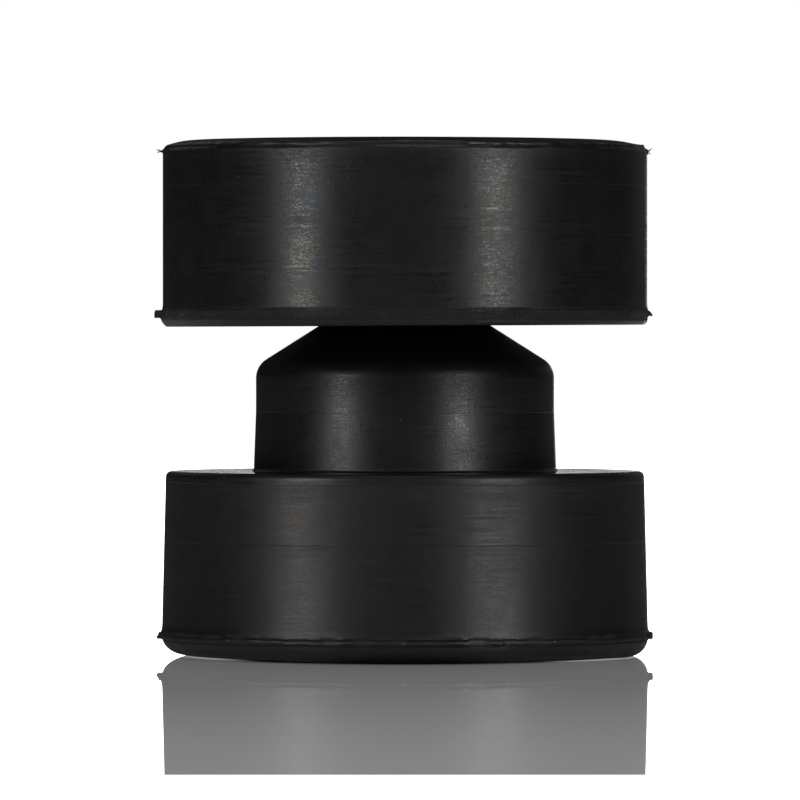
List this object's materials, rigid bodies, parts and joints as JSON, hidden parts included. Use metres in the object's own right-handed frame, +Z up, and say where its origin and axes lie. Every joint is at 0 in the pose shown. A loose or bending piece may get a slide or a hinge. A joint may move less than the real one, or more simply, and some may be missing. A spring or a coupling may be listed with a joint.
{
  "type": "rubber anti-vibration mount",
  "caption": "Black moulded rubber ring and bushing mount: stacked discs with a hub and conical nose between them, a bolt bore, and a groove for a bracket plate.",
  "frame": {"origin": "centre of the bushing's flat base, on the bolt's axis", "axes": "+Z up the bolt's axis from the bushing to the ring; X and Y are free, since the mount is round"},
  "size_m": [0.0672, 0.0672, 0.0692],
  "materials": {
    "bushing_rubber": "satin moulded black rubber with fine turning lines and light bloom",
    "ring_rubber": "satin moulded black rubber with fine turning lines and light bloom"
  },
  "bodies": {
    "root": {"lower_bushing": "bushing_rubber", "upper_ring": "ring_rubber"}
  },
  "joints": []
}
